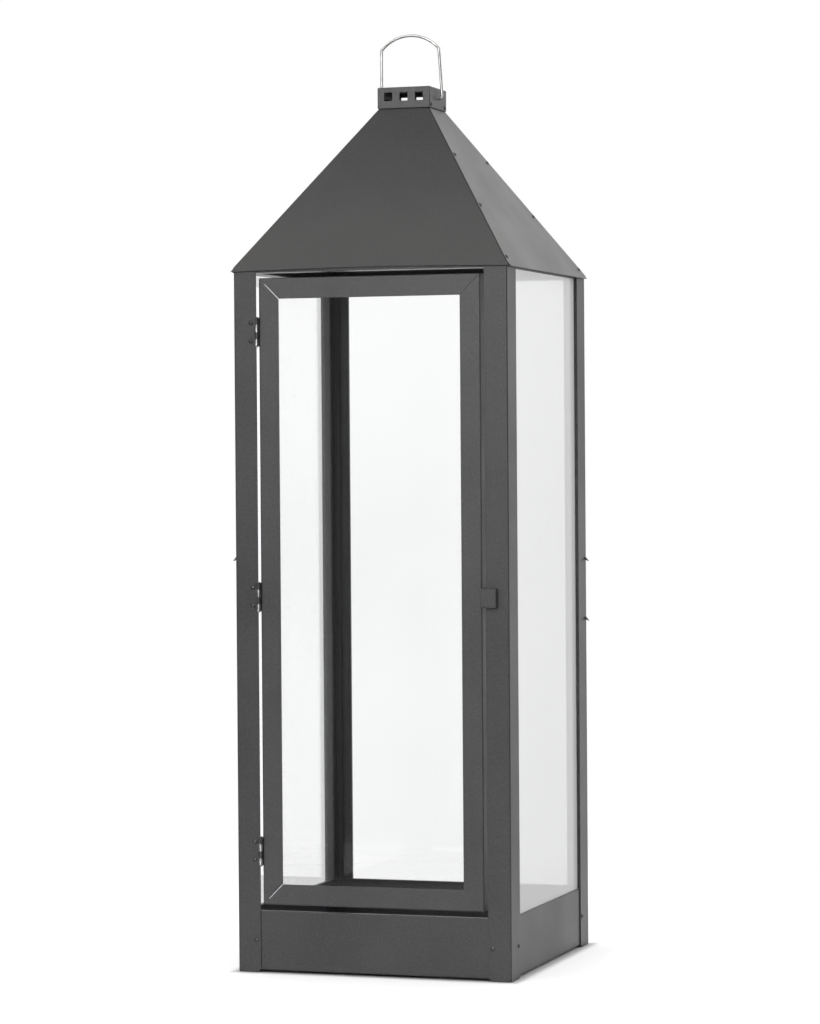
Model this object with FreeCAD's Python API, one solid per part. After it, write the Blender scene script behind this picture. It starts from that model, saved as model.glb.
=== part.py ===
import FreeCAD
import Part

import math
import os

# Floor-standing candle lantern of folded sheet steel with glass on four sides.
# Millimetres. +Z is up, the door faces -Y and its hinges are on the -X side.
# The origin is on the floor, under the centre of the square plan.

V = FreeCAD.Vector
UP = V(0, 0, 1)

# Corner posts and plinth
body_width = 300.0
sheet = 1.2
bend_outer = 1.6
leg_face = 25.0
leg_side = 32.0
leg_return = 3.6
foot_round = 6.0
foot_notch = 2.0
plinth_clear = 2.5
plinth_top = 65.0
plinth_flange = 7.0
floor_ledge = 14.0
floor_sheet = 1.2
floor_gap = 0.3
seat_gap = 0.1
lap_gap = 0.05
cutter_over = 1.0

# Eave and header
eave_height = 737.0
eave_overhang = 3.5
eave_bow = 2.2
header_drop = 1.2
header_flange = 20.0
header_slope_flange = 14.0
header_end = 24.0

# Roof and cap
roof_sheet = 1.0
neck_height = 915.0
neck_rise = 6.5
hip_flange = 12.0
hip_setback = 0.6
hip_top_gap = 3.0
hip_corner_round = 5.0
cap_width = 59.0
cap_height = 22.5
cap_sheet = 1.0
cap_bend = 1.0
cap_gap = 0.3
vent_hole = 9.0
vent_pitch = 17.3
vent_rise = 12.3
vent_count = 3

# Wire bail
wire = 3.0
bail_hole_gap = 0.15
bail_rise = 11.3
bail_clear = 3.3
bail_shoulder = 54.0
bail_arch = 15.0
bail_lean = 3.6
bail_foot_round = 3.2
bail_shoulder_round = 4.5
bail_hook = 6.0

# Glass and what holds it
glass = 3.0
pane_top_gap = 0.3
pane_edge_gap = 0.8
glazing_leg = 8.0
glazing_foot = 4.0
glazing_sheet = 0.8

# Door
door_bottom_gap = 6.5
door_top_gap = 7.0
door_member = 22.0
door_depth = 15.0
hinge_gap = 3.0
latch_gap = 4.0
open_mitre = 0.9
shut_mitre = 0.15
door_pane_gap = 1.0
bead_flange = 9.0
bead_leg = 3.2
bracket_leg = 16.0
bracket_width = 8.0
bracket_gap = 0.8

# Butt hinges
hinge_from_end = 56.5
latch_below_middle = 5.3
hinge_length = 30.0
knuckle_count = 4
knuckle_gap = 0.2
barrel = 4.2
pin = 2.2
pin_gap = 0.05
pin_head = 0.8
barrel_stand = 0.2
leaf = 0.9
fixed_leaf_width = 14.0
door_leaf_width = 13.0
hinge_rivet_pitch = 19.0
hinge_rivet_inset = 6.0
door_rivet_inset = 5.2

# Blind rivets
rivet_head = 5.2
rivet_crown = 3.0
rivet_dome = 1.2
rivet_shank = 3.0
rivet_tail = 4.2
rivet_tail_height = 0.6
rivet_gap = 0.04
plinth_rivet_height = 34.0
plinth_rivet_inset = 5.0
hip_rivet_inset = 6.5
hip_rivet_shares = (0.07, 0.39, 0.71)
cap_rivet_rise = 3.4
cap_rivet_inset = 5.5

# Pull tab and magnetic catch
tab_width = 17.0
tab_height = 20.0
tab_stand = 7.5
tab_post_gap = 1.2
tab_sheet = 1.0
tab_bend = 0.8
tab_flange = 12.5
catch_gap = 0.3
catch_width = 14.0
catch_height = 20.0
catch_depth = 9.0
catch_foot = 12.0
catch_rivet_pitch = 11.0
keeper_width = 13.0

# Pointed tongues lanced out of the side legs
tongue_width = 4.0
tongue_stand = 4.0
tongue_drop = 5.0
tongue_root = 3.4
tongue_inset = 2.5
left_tongue_rises = (42.5,)
right_tongue_rises = (34.5, -31.5)

# Places worked out from the sizes above
half = body_width / 2
inner = half - sheet
face_edge = half - leg_face
side_edge = half - leg_side
pane_outer = half - leg_return
pane_inner = pane_outer - glass
floor_low = plinth_clear + sheet
header_bottom = eave_height - header_drop
pane_top = header_bottom - pane_top_gap
eave_half = half + eave_overhang
cap_half = cap_width / 2
neck_half = cap_half - cap_sheet - cap_gap
cap_top = neck_height + cap_height
slope = math.atan2(neck_height - eave_height, eave_half - neck_half)
lap_depth = roof_sheet + lap_gap
pivot_height = neck_height + bail_rise
door_left = -face_edge + hinge_gap
door_right = face_edge - latch_gap
door_front = -half
door_back = door_front + door_depth
door_glass_front = door_front + sheet
door_glass_back = door_glass_front + glass
axis_x = -face_edge + hinge_gap / 2
axis_y = door_front - barrel_stand - barrel / 2
tab_back = door_front + tab_flange
door_bottom = plinth_top + door_bottom_gap
door_top = eave_height - door_top_gap
latch_height = (door_bottom + door_top) / 2 - latch_below_middle
hinge_heights = (door_bottom + hinge_from_end, latch_height, door_top - hinge_from_end)


def roof_level(depth, reach):
    """Height of the roof surface at a depth below its outer face, at a distance from the centre."""
    return eave_height + (eave_half - reach) * math.tan(slope) - depth / math.cos(slope)


post_top = roof_level(roof_sheet, half) - seat_gap
header_low_top = roof_level(roof_sheet + lap_depth, inner) - seat_gap


# ------------------------------------------------------------ building blocks

def save(name, shape):
    shape.exportStep("parts/" + name + ".step")


def box(x0, x1, y0, y1, z0, z1):
    return Part.makeBox(x1 - x0, y1 - y0, z1 - z0, V(x0, y0, z0))


def prism(points, sweep):
    """Solid of a closed outline swept straight."""
    return Part.Face(Part.makePolygon(points + [points[0]])).extrude(sweep)


def turned(shape, quarter_turns):
    copy = shape.copy()
    copy.rotate(V(0, 0, 0), UP, 90 * quarter_turns)
    return copy


def mirrored(shape, normal):
    return shape.mirror(V(0, 0, 0), normal)


def fused(solids):
    whole = solids[0].fuse(solids[1:]) if len(solids) > 1 else solids[0]
    return whole.removeSplitter()


def meeting_point(planes):
    """Point shared by three planes, each a (point, normal) pair."""
    (pa, na), (pb, nb), (pc, nc) = planes
    total = nb.cross(nc) * pa.dot(na) + nc.cross(na) * pb.dot(nb) + na.cross(nb) * pc.dot(nc)
    return total * (1 / na.dot(nb.cross(nc)))


def block(pair_a, pair_b, pair_c):
    """Six-sided solid between three pairs of planes."""
    corner = {}
    for i in (0, 1):
        for j in (0, 1):
            for k in (0, 1):
                corner[i, j, k] = meeting_point((pair_a[i], pair_b[j], pair_c[k]))
    rings = []
    for i in (0, 1):
        rings.append([corner[i, 0, 0], corner[i, 1, 0], corner[i, 1, 1], corner[i, 0, 1]])
        rings.append([corner[0, i, 0], corner[1, i, 0], corner[1, i, 1], corner[0, i, 1]])
        rings.append([corner[0, 0, i], corner[1, 0, i], corner[1, 1, i], corner[0, 1, i]])
    faces = [Part.Face(Part.makePolygon(ring + [ring[0]])) for ring in rings]
    solid = Part.Solid(Part.Shell(faces))
    if solid.Volume < 0:
        solid.reverse()
    return solid


def level(z):
    return (V(0, 0, z), UP)


def lies_at(edge, x=None, y=None, z=None):
    """True where the whole edge lies on the stated coordinates."""
    for vertex in edge.Vertexes:
        for value, wanted in zip(vertex.Point, (x, y, z)):
            if wanted is not None and abs(value - wanted) > 0.01:
                return False
    return True


def stands_on(edge, point, direction):
    """True where a straight edge runs through a point along a direction."""
    start, end = [vertex.Point for vertex in edge.Vertexes]
    off_line = (start - point).cross(direction).Length + (end - point).cross(direction).Length
    return off_line < 0.01


def rounded(solid, radius, chosen):
    return solid.makeFillet(radius, [edge for edge in solid.Edges if chosen(edge)])


# ------------------------------------------------------------ rivets

def rivet(seat, outward, grip):
    """Blind rivet: a low head on its seat, a shank through the grip and a tail behind it."""
    head, crown, shank, tail = rivet_head / 2, rivet_crown / 2, rivet_shank / 2, rivet_tail / 2
    tail_end = -grip - rivet_tail_height
    outline = [
        V(0, 0, rivet_dome),
        V(crown, 0, rivet_dome),
        V(head, 0, 0),
        V(shank, 0, 0),
        V(shank, 0, -grip),
        V(tail, 0, -grip),
        V(shank, 0, tail_end),
        V(0, 0, tail_end),
    ]
    solid = Part.Face(Part.makePolygon(outline + [outline[0]])).revolve(V(0, 0, 0), UP, 360)
    solid.Placement = FreeCAD.Placement(seat, FreeCAD.Rotation(UP, outward))
    return solid


def rivets(seats, grip):
    return Part.Compound([rivet(seat, outward, grip) for seat, outward in seats])


def drilled(shape, seats, grip):
    """Shape with a hole for the shank of each rivet that reaches it."""
    for seat, outward in seats:
        start = seat + outward * rivet_dome
        length = grip + rivet_dome + rivet_tail_height
        hole = Part.makeCylinder(rivet_shank / 2 + rivet_gap, length, start, outward * -1)
        if hole.BoundBox.intersect(shape.BoundBox):
            shape = shape.cut(hole)
    return shape


plinth_grip = 2 * sheet
fixed_leaf_grip = sheet + leaf
door_leaf_grip = leaf + sheet
tab_grip = tab_sheet + sheet
catch_grip = 2 * sheet
hip_grip = roof_sheet + lap_depth
cap_grip = cap_sheet + cap_gap + roof_sheet


def plinth_rivet_seats():
    """Two at the foot of each post: one through each leg."""
    seats = []
    for sx in (-1, 1):
        for sy in (-1, 1):
            face_x = sx * (face_edge + plinth_rivet_inset)
            side_y = sy * (side_edge + plinth_rivet_inset)
            seats.append((V(face_x, sy * half, plinth_rivet_height), V(0, sy, 0)))
            seats.append((V(sx * half, side_y, plinth_rivet_height), V(sx, 0, 0)))
    return seats


def spread(centre, pitch):
    """Two places, one on each side of a centre."""
    return (centre - pitch / 2, centre + pitch / 2)


def fixed_leaf_seats():
    x = -face_edge - hinge_rivet_inset
    return [(V(x, door_front, z), V(0, -1, 0)) for c in hinge_heights for z in spread(c, hinge_rivet_pitch)]


def door_leaf_seats():
    x, y = door_left - leaf, door_back - door_rivet_inset
    return [(V(x, y, z), V(-1, 0, 0)) for c in hinge_heights for z in spread(c, hinge_rivet_pitch)]


def tab_seats():
    return [(V(door_right + tab_sheet, door_back - door_rivet_inset, latch_height), V(1, 0, 0))]


def catch_seats():
    x = face_edge + catch_foot / 2 + sheet
    return [(V(x, door_front, z), V(0, -1, 0)) for z in spread(latch_height, catch_rivet_pitch)]


def cap_rivet_seats():
    seats = []
    for sx in (-1, 1):
        for sy in (-1, 1):
            y = sy * (cap_half - cap_rivet_inset)
            seats.append((V(sx * cap_half, y, neck_height + cap_rivet_rise), V(sx, 0, 0)))
    return seats


# ------------------------------------------------------------ posts, plinth, floor

def tongue(z):
    """Pointed tongue on the outer face of the left side leg, sloping out and down."""
    outline = [
        V(0, 0, z),
        V(-tongue_stand, 0, z - tongue_drop),
        V(0, 0, z - tongue_root),
    ]
    solid = prism(outline, V(0, tongue_width, 0))
    solid.translate(V(-half, -half + tongue_inset, 0))
    return solid


def post(sx, sy, tongue_rises=()):
    """Corner post: a folded angle, with a narrow return along each glazed edge."""
    outline = [
        V(-half, -half, 0),
        V(-face_edge, -half, 0),
        V(-face_edge, -inner, 0),
        V(-inner, -inner, 0),
        V(-inner, -side_edge, 0),
        V(-half, -side_edge, 0),
    ]
    angle = prism(outline, V(0, 0, post_top))
    angle = rounded(angle, bend_outer, lambda e: lies_at(e, x=-half, y=-half))
    angle = rounded(angle, foot_round, lambda e: lies_at(e, x=-face_edge, z=0))
    angle = rounded(angle, foot_round, lambda e: lies_at(e, y=-side_edge, z=0))
    notch = box(-half, -half + foot_notch, -half, -half + foot_notch, 0, foot_notch)
    low, high = plinth_top + seat_gap, header_bottom - seat_gap
    pieces = [angle.cut(notch)]
    pieces.append(box(-half + sheet / 2, -pane_outer, -side_edge - sheet, -side_edge, low, high))
    if sy > 0:
        pieces.append(box(-face_edge - sheet, -face_edge, -half + sheet / 2, -pane_outer, low, high))
    pieces += [tongue(latch_height + rise) for rise in tongue_rises]
    solid = fused(pieces)
    if sx > 0:
        solid = mirrored(solid, V(1, 0, 0))
    if sy > 0:
        solid = mirrored(solid, V(0, 1, 0))
    solid = drilled(solid, plinth_rivet_seats(), plinth_grip)
    if sy < 0 and sx < 0:
        solid = drilled(solid, fixed_leaf_seats(), fixed_leaf_grip)
    if sy < 0 and sx > 0:
        solid = drilled(solid, catch_seats(), catch_grip)
    return solid


def front_sector(z0, z1):
    """Region in front of both diagonals of the plan, where the front strips are mitred."""
    reach = 2 * eave_half
    apex = -lap_gap
    outline = [V(0, apex, z0), V(-reach, apex - reach, z0), V(reach, apex - reach, z0)]
    return prism(outline, V(0, 0, z1 - z0))


def plinth_panel(quarter_turns):
    """Web behind the feet, folded in above to carry the glass and below to carry the floor."""
    outline = [
        V(-inner, -inner, plinth_clear),
        V(-inner, -inner, plinth_top),
        V(-inner, -inner + plinth_flange, plinth_top),
        V(-inner, -inner + plinth_flange, plinth_top - sheet),
        V(-inner, -inner + sheet, plinth_top - sheet),
        V(-inner, -inner + sheet, floor_low),
        V(-inner, -inner + floor_ledge, floor_low),
        V(-inner, -inner + floor_ledge, plinth_clear),
    ]
    panel = prism(outline, V(2 * inner, 0, 0))
    for fold in (plinth_clear, plinth_top):
        panel = rounded(panel, sheet, lambda e: lies_at(e, y=-inner, z=fold))
    panel = turned(panel.common(front_sector(0, plinth_top)), quarter_turns)
    return drilled(panel, plinth_rivet_seats(), plinth_grip)


def floor_plate():
    """Plate for the candles, lying on the lower flanges between the four plinth webs."""
    reach = inner - sheet - floor_gap
    return box(-reach, reach, -reach, reach, floor_low, floor_low + floor_sheet)


# ------------------------------------------------------------ header and roof

def header_strip(quarter_turns):
    """Mitred strip under the eave: flange below, web, and a flange lying along the roof."""
    outline = [
        V(-inner, -inner, header_bottom),
        V(-inner, -inner + header_flange, header_bottom),
        V(-inner, -inner + header_flange, header_bottom + sheet),
        V(-inner, -inner + sheet, header_bottom + sheet),
        V(-inner, -inner + sheet, header_low_top),
        V(-inner, -inner, header_low_top),
    ]
    strip = prism(outline, V(2 * inner, 0, 0)).common(front_sector(header_bottom, neck_height))
    start = -inner + header_end
    tip = inner - header_slope_flange * math.cos(slope)
    deep = lap_depth + sheet
    rise = [
        V(start, -inner, header_bottom),
        V(start, -inner, roof_level(lap_depth, inner)),
        V(start, -tip, roof_level(lap_depth, tip)),
        V(start, -tip, roof_level(deep, tip)),
        V(start, -inner + sheet, roof_level(deep, inner - sheet)),
        V(start, -inner + sheet, header_bottom),
    ]
    return turned(fused([strip, prism(rise, V(-2 * start, 0, 0))]), quarter_turns)


FRONT, REAR, RIGHT, LEFT = V(0, -1, 0), V(0, 1, 0), V(1, 0, 0), V(-1, 0, 0)


def roof_plane(side, depth):
    normal = side * math.sin(slope) + UP * math.cos(slope)
    return (side * eave_half + UP * eave_height - normal * depth, normal)


def hip_frame(face, side):
    """Lower end, direction, inward direction and outward normal of a hip, on the side's roof face."""
    low = (face + side) * eave_half + UP * eave_height
    high = (face + side) * neck_half + UP * neck_height
    along = (high - low).normalize()
    normal = roof_plane(side, 0)[1]
    inward = normal.cross(along)
    if inward.dot(face) > 0:
        inward = inward * -1
    return low, high, inward.normalize(), normal


def hip_rivet_seats():
    seats = []
    for face in (FRONT, REAR):
        for side in (LEFT, RIGHT):
            low, high, inward, normal = hip_frame(face, side)
            for share in hip_rivet_shares:
                seats.append((low + (high - low) * share + inward * hip_rivet_inset, normal))
    return seats


def face_panel(face):
    """Front or rear roof panel, folded under its neighbours along both hips."""
    skin = block(
        (roof_plane(face, 0), roof_plane(face, roof_sheet)),
        (level(eave_height), level(neck_height)),
        (roof_plane(LEFT, lap_depth), roof_plane(RIGHT, lap_depth)),
    )
    radius = (eave_half ** 2 + eave_bow ** 2) / (2 * eave_bow)
    bow_centre = V(0, -body_width, eave_height + eave_bow - radius)
    skin = skin.cut(Part.makeCylinder(radius, 2 * body_width, bow_centre, V(0, 1, 0)))
    pieces = [skin]
    for side in (LEFT, RIGHT):
        low, high, inward, normal = hip_frame(face, side)
        pieces.append(block(
            (roof_plane(side, lap_depth), roof_plane(side, lap_depth + roof_sheet)),
            (level(post_top + seat_gap), level(neck_height - hip_top_gap)),
            (roof_plane(face, 0), (low + inward * hip_flange, inward)),
        ))
    neck_width = neck_half - lap_depth
    neck = box(-neck_width, neck_width, -neck_half, -neck_half + roof_sheet, neck_height, neck_height + neck_rise)
    pieces.append(neck if face == FRONT else mirrored(neck, V(0, 1, 0)))
    return drilled(fused(pieces), hip_rivet_seats(), hip_grip)


def side_panel(side):
    """Left or right roof panel, lapped over the hip flanges, with its lower corners rounded."""
    outer, normal = roof_plane(side, 0)
    planes = (roof_plane(FRONT, hip_setback), roof_plane(REAR, hip_setback))
    heights = (level(eave_height), level(neck_height))
    order = ((0, 0), (0, 1), (1, 1), (1, 0))
    outline = [meeting_point(((outer, normal), planes[i], heights[j])) for i, j in order]
    skin = prism(outline, normal * -roof_sheet)
    corners = (outline[0], outline[3])
    skin = rounded(skin, hip_corner_round, lambda e: any(stands_on(e, corner, normal) for corner in corners))
    neck_width = neck_half - hip_setback
    neck_low = neck_height - roof_sheet * math.cos(slope)
    neck = box(neck_half - roof_sheet, neck_half, -neck_width, neck_width, neck_low, neck_height + neck_rise)
    neck = neck if side == RIGHT else mirrored(neck, V(1, 0, 0))
    panel = drilled(fused([skin, neck]), hip_rivet_seats(), hip_grip)
    return drilled(panel, cap_rivet_seats(), cap_grip)


def vent_cap():
    """Square folded cap, open below, with vent holes front and rear and the bail's holes at the sides."""
    shell = box(-cap_half, cap_half, -cap_half, cap_half, neck_height, cap_top)
    shell = rounded(shell, cap_bend, lambda e: not lies_at(e, z=neck_height))
    hollow = cap_half - cap_sheet
    shell = shell.cut(box(-hollow, hollow, -hollow, hollow, neck_height, cap_top - cap_sheet))
    centre = neck_height + vent_rise
    first = -vent_pitch * (vent_count - 1) / 2
    for i in range(vent_count):
        x = first + i * vent_pitch
        reach = vent_hole / 2
        shell = shell.cut(box(x - reach, x + reach, -cap_half, cap_half, centre - reach, centre + reach))
    bore = Part.makeCylinder(wire / 2 + bail_hole_gap, cap_width, V(-cap_half, 0, pivot_height), V(1, 0, 0))
    return drilled(shell.cut(bore), cap_rivet_seats(), cap_grip)


# ------------------------------------------------------------ bail

def arc(start, end, centre):
    """Short arc from start to end about a centre."""
    middle = (start - centre) + (end - centre)
    radius = (start - centre).Length
    return Part.Arc(start, centre + middle.normalize() * radius, end).toShape()


def bail():
    """Bent wire: hooks into the cap's side walls, two legs and an arch between their shoulders.

    The right leg leans in a little, as the bent wire does.
    """
    foot = cap_half + bail_clear + wire / 2
    shoulder_height = pivot_height + bail_shoulder
    shoulders = (V(-foot, 0, shoulder_height), V(foot - bail_lean, 0, shoulder_height))
    span = (shoulders[1] - shoulders[0]).Length
    radius = (span ** 2 / 4 + bail_arch ** 2) / (2 * bail_arch)
    hub = (shoulders[0] + shoulders[1]) * 0.5 + UP * (bail_arch - radius)
    crown = hub + UP * radius
    halves = []
    for side, shoulder in zip((-1, 1), shoulders):
        corner = V(side * foot, 0, pivot_height)
        tip = V(side * (cap_half - cap_sheet - bail_hook), 0, pivot_height)
        inward = V(-side, 0, 0)
        up_leg = (shoulder - corner).normalize()
        half_turn = inward.getAngle(up_leg) / 2
        setback = bail_foot_round / math.tan(half_turn)
        bend_centre = corner + (inward + up_leg).normalize() * (bail_foot_round / math.sin(half_turn))
        across = V(up_leg.z, 0, -up_leg.x) * -side
        offset = corner + across * bail_shoulder_round - hub
        along = offset.dot(up_leg)
        reach = radius - bail_shoulder_round
        travel = -along + math.sqrt(along ** 2 - offset.dot(offset) + reach ** 2)
        turn_centre = corner + up_leg * travel + across * bail_shoulder_round
        leg_end = corner + up_leg * travel
        arch_start = hub + (turn_centre - hub) * (radius / reach)
        halves.append([
            Part.makeLine(tip, corner + inward * setback),
            arc(corner + inward * setback, corner + up_leg * setback, bend_centre),
            Part.makeLine(corner + up_leg * setback, leg_end),
            arc(leg_end, arch_start, turn_centre),
            arc(arch_start, crown, hub),
        ])
    path = Part.Wire(Part.sortEdges(halves[0] + halves[1])[0])
    start = V(-(cap_half - cap_sheet - bail_hook), 0, pivot_height)
    section = Part.Wire(Part.makeCircle(wire / 2, start, V(1, 0, 0)))
    return path.makePipeShell([section], True, True)


# ------------------------------------------------------------ fixed glass

def side_pane():
    return box(pane_inner, pane_outer, -inner + pane_edge_gap, pane_inner - pane_edge_gap, plinth_top, pane_top)


def rear_pane():
    reach = inner - pane_edge_gap
    return box(-reach, reach, pane_inner, pane_outer, plinth_top, pane_top)


def rear_glazing_angle():
    """Angle in the rear right corner, holding the rear and right panes against the post."""
    outline = [
        V(pane_inner, pane_inner, plinth_top),
        V(pane_inner - glazing_leg, pane_inner, plinth_top),
        V(pane_inner - glazing_leg, pane_inner - glazing_sheet, plinth_top),
        V(pane_inner - glazing_sheet, pane_inner - glazing_sheet, plinth_top),
        V(pane_inner - glazing_sheet, pane_inner - glazing_leg, plinth_top),
        V(pane_inner, pane_inner - glazing_leg, plinth_top),
    ]
    return prism(outline, V(0, 0, header_bottom - plinth_top))


def front_glazing_angle():
    """Angle in the front right corner, holding the right pane against the post."""
    outline = [
        V(pane_inner, -inner, plinth_top),
        V(pane_inner, -inner + glazing_leg, plinth_top),
        V(pane_inner - glazing_sheet, -inner + glazing_leg, plinth_top),
        V(pane_inner - glazing_sheet, -inner + glazing_sheet, plinth_top),
        V(pane_inner - glazing_foot, -inner + glazing_sheet, plinth_top),
        V(pane_inner - glazing_foot, -inner, plinth_top),
    ]
    return prism(outline, V(0, 0, header_bottom - plinth_top))


# ------------------------------------------------------------ door

def member_profile_rail(edge, inward):
    """Angle section along X at one horizontal edge of the door."""
    plate = edge + inward * door_member
    wall = edge + inward * sheet
    outline = [
        V(door_left, door_front, edge),
        V(door_left, door_front, plate),
        V(door_left, door_glass_front, plate),
        V(door_left, door_glass_front, wall),
        V(door_left, door_back, wall),
        V(door_left, door_back, edge),
    ]
    solid = prism(outline, V(door_right - door_left, 0, 0))
    return rounded(solid, bend_outer, lambda e: lies_at(e, y=door_front, z=edge))


def member_profile_stile(edge, inward):
    """Angle section along Z at one upright edge of the door."""
    plate = edge + inward * door_member
    wall = edge + inward * sheet
    outline = [
        V(edge, door_front, door_bottom),
        V(plate, door_front, door_bottom),
        V(plate, door_glass_front, door_bottom),
        V(wall, door_glass_front, door_bottom),
        V(wall, door_back, door_bottom),
        V(edge, door_back, door_bottom),
    ]
    solid = prism(outline, V(0, 0, door_top - door_bottom))
    return rounded(solid, bend_outer, lambda e: lies_at(e, x=edge, y=door_front))


def mitre_cut(points):
    """Cutter over the door's depth with an outline of (x, z) points."""
    start = door_front - cutter_over
    return prism([V(x, start, z) for x, z in points], V(0, door_depth + 2 * cutter_over, 0))


def door_rail(edge, inward):
    left_shift, right_shift = open_mitre / math.sqrt(2), shut_mitre / math.sqrt(2)
    far = edge + inward * door_member
    keep = mitre_cut([
        (door_left + left_shift, edge),
        (door_left + left_shift + door_member, far),
        (door_right - right_shift - door_member, far),
        (door_right - right_shift, edge),
    ])
    return member_profile_rail(edge, inward).common(keep)


def door_stile(edge, inward, gap):
    shift = gap / math.sqrt(2)
    far = edge + inward * door_member
    keep = mitre_cut([
        (edge, door_bottom + shift),
        (far, door_bottom + shift + door_member),
        (far, door_top - shift - door_member),
        (edge, door_top - shift),
    ])
    stile = member_profile_stile(edge, inward).common(keep)
    stile = drilled(stile, door_leaf_seats(), door_leaf_grip)
    return drilled(stile, tab_seats(), tab_grip)


def door_pane():
    inset = sheet + door_pane_gap
    return box(
        door_left + inset, door_right - inset,
        door_glass_front, door_glass_back,
        door_bottom + inset, door_top - inset,
    )


def bead(wall, inward, low, high, upright):
    """Angle that presses the pane against one door member, stopping short of the corner brackets."""
    flange_end = wall + inward * bead_flange
    leg_end = wall + inward * glazing_sheet
    spans = ((flange_end, glazing_sheet), (leg_end, bead_leg))
    pieces = []
    for end, depth in spans:
        a, b = min(wall, end), max(wall, end)
        if upright:
            pieces.append(box(a, b, door_glass_back, door_glass_back + depth, low, high))
        else:
            pieces.append(box(low, high, door_glass_back, door_glass_back + depth, a, b))
    return fused(pieces)


def door_beads():
    """The four glazing beads by name."""
    short = sheet + bracket_leg + bracket_gap
    spans_x = (door_left + short, door_right - short)
    spans_z = (door_bottom + short, door_top - short)
    return {
        "door_bead_hinge_side": bead(door_left + sheet, 1, *spans_z, True),
        "door_bead_latch_side": bead(door_right - sheet, -1, *spans_z, True),
        "door_bead_bottom": bead(door_bottom + sheet, 1, *spans_x, False),
        "door_bead_top": bead(door_top - sheet, -1, *spans_x, False),
    }


def door_corner_brackets():
    """Four angle brackets that join the members behind their mitres."""
    front = door_glass_back + bracket_gap
    brackets = []
    for x, sx in ((door_left + sheet, 1), (door_right - sheet, -1)):
        for z, sz in ((door_bottom + sheet, 1), (door_top - sheet, -1)):
            outline = [
                V(x, front, z),
                V(x + sx * bracket_leg, front, z),
                V(x + sx * bracket_leg, front, z + sz * sheet),
                V(x + sx * sheet, front, z + sz * sheet),
                V(x + sx * sheet, front, z + sz * bracket_leg),
                V(x, front, z + sz * bracket_leg),
            ]
            brackets.append(prism(outline, V(0, bracket_width, 0)))
    return Part.Compound(brackets)


def pull_tab():
    """Shallow folded box standing over the post's edge, on a flange riveted to the latch stile."""
    z0, z1 = latch_height - tab_height / 2, latch_height + tab_height / 2
    right = door_right + tab_width
    face = door_front - tab_stand
    lip = door_front - tab_post_gap
    outer = box(door_right, right, face, lip, z0, z1)
    outer = rounded(outer, tab_bend, lambda e: lies_at(e, y=face))
    hollow = box(
        door_right + tab_sheet, right - tab_sheet,
        face + tab_sheet, lip,
        z0 + tab_sheet, z1 - tab_sheet,
    )
    flange = box(door_right, door_right + tab_sheet, lip - tab_sheet, tab_back, z0, z1)
    return drilled(fused([outer.cut(hollow), flange]), tab_seats(), tab_grip)


# ------------------------------------------------------------ hinges

def knuckle_spans(centre):
    """Lower and upper ends of the knuckles of one hinge, from the top down."""
    length = (hinge_length - knuckle_gap * (knuckle_count - 1)) / knuckle_count
    top = centre + hinge_length / 2
    spans = []
    for i in range(knuckle_count):
        high = top - i * (length + knuckle_gap)
        spans.append((high - length, high))
    return spans


def with_knuckles(plates, spans, neck_x):
    """Leaf plates joined to their rolled knuckles, bored for the pin."""
    pieces = list(plates)
    for low, high in spans:
        pieces.append(Part.makeCylinder(barrel / 2, high - low, V(axis_x, axis_y, low)))
        pieces.append(box(neck_x, neck_x + leaf, axis_y, door_front + seat_gap, low, high))
    whole = fused(pieces)
    low, high = spans[-1][0] - hinge_length, spans[0][1] + hinge_length
    return whole.cut(Part.makeCylinder(pin / 2 + pin_gap, high - low, V(axis_x, axis_y, low)))


def fixed_leaf(centre):
    """Leaf that turns in behind the post's front leg."""
    low, high = centre - hinge_length / 2, centre + hinge_length / 2
    neck_x = -face_edge + lap_gap
    throat = box(neck_x, neck_x + leaf, door_front, -inner + leaf, low, high)
    plate = box(-face_edge - fixed_leaf_width, neck_x + leaf, -inner, -inner + leaf, low, high)
    shape = with_knuckles([throat, plate], knuckle_spans(centre)[0::2], neck_x)
    return drilled(shape, fixed_leaf_seats(), fixed_leaf_grip)


def door_leaf(centre):
    """Leaf that lies flat on the outer wall of the hinge stile."""
    low, high = centre - hinge_length / 2, centre + hinge_length / 2
    neck_x = door_left - leaf
    plate = box(neck_x, door_left, door_front, door_front + door_leaf_width, low, high)
    shape = with_knuckles([plate], knuckle_spans(centre)[1::2], neck_x)
    return drilled(shape, door_leaf_seats(), door_leaf_grip)


def hinge_pins():
    """Pins with a low head at each end; the lower one stays a little clear of the door's last knuckle."""
    pins = []
    for centre in hinge_heights:
        low = V(axis_x, axis_y, centre - hinge_length / 2 - knuckle_gap)
        length = hinge_length + knuckle_gap
        shank = Part.makeCylinder(pin / 2, length, low)
        top_head = Part.makeCone(barrel / 2, pin / 2, pin_head, low + UP * length)
        low_head = Part.makeCone(pin / 2, barrel / 2, pin_head, low - UP * pin_head)
        pins.append(fused([shank, top_head, low_head]))
    return Part.Compound(pins)


# ------------------------------------------------------------ catch

def catch_bracket():
    """Bracket behind the latch-side post: foot on the post, web, and a seat for the magnet."""
    low, high = latch_height - catch_height / 2, latch_height + catch_height / 2
    web_x = face_edge + sheet
    seat_y = door_back + catch_gap + catch_depth
    foot = box(web_x, web_x + catch_foot, -inner, -inner + sheet, low, high)
    web = box(web_x, web_x + sheet, -inner, seat_y + sheet, low, high)
    seat = box(web_x - catch_width, web_x + sheet, seat_y, seat_y + sheet, low, high)
    return drilled(fused([foot, web, seat]), catch_seats(), catch_grip)


def catch_magnet():
    low, high = latch_height - catch_height / 2, latch_height + catch_height / 2
    web_x = face_edge + sheet
    face = door_back + catch_gap
    block_shape = box(web_x - catch_width, web_x, face, face + catch_depth, low, high)
    return rounded(block_shape, sheet / 2, lambda e: lies_at(e, y=face))


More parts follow.
